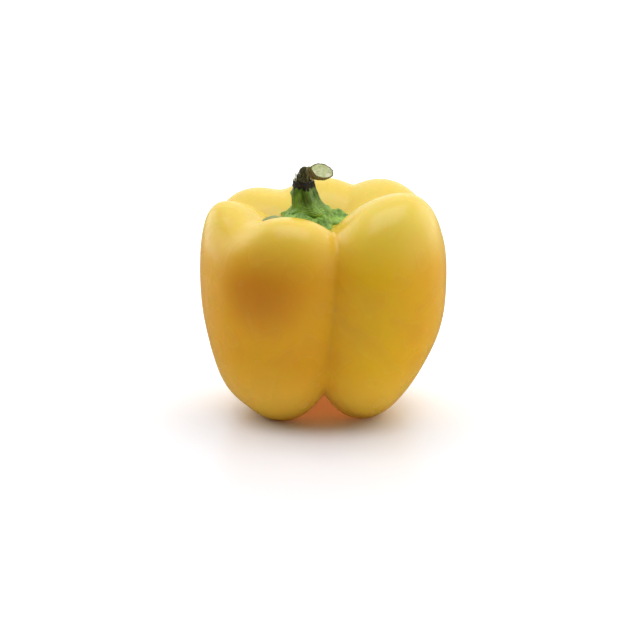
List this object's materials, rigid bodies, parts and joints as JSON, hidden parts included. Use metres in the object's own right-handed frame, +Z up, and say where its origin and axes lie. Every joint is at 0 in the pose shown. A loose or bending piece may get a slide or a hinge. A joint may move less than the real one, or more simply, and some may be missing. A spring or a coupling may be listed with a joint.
{
  "type": "yellow bell pepper",
  "caption": "Blocky sweet pepper standing on its lobes, with a green star-shaped cap and a short broken stem ending in a withered neck and a cut stub.",
  "frame": {"origin": "centre of the bounding box's base, on the surface the pepper stands on", "axes": "+Z up along the stem; -Y is the side the picture shows, with the deep front groove; +X is to the right of that side"},
  "size_m": [0.089, 0.081, 0.091],
  "materials": {
    "fruit_skin": "waxy satin gloss, golden yellow",
    "calyx_green": "matt, fresh leaf green",
    "stem_green": "matt, ribbed deep green",
    "withered_stem": "dry fibrous brown, with a pale green cut face"
  },
  "bodies": {
    "root": {"fruit": "fruit_skin", "calyx": "calyx_green", "stem": "stem_green", "stem_tip": "withered_stem"}
  },
  "joints": []
}
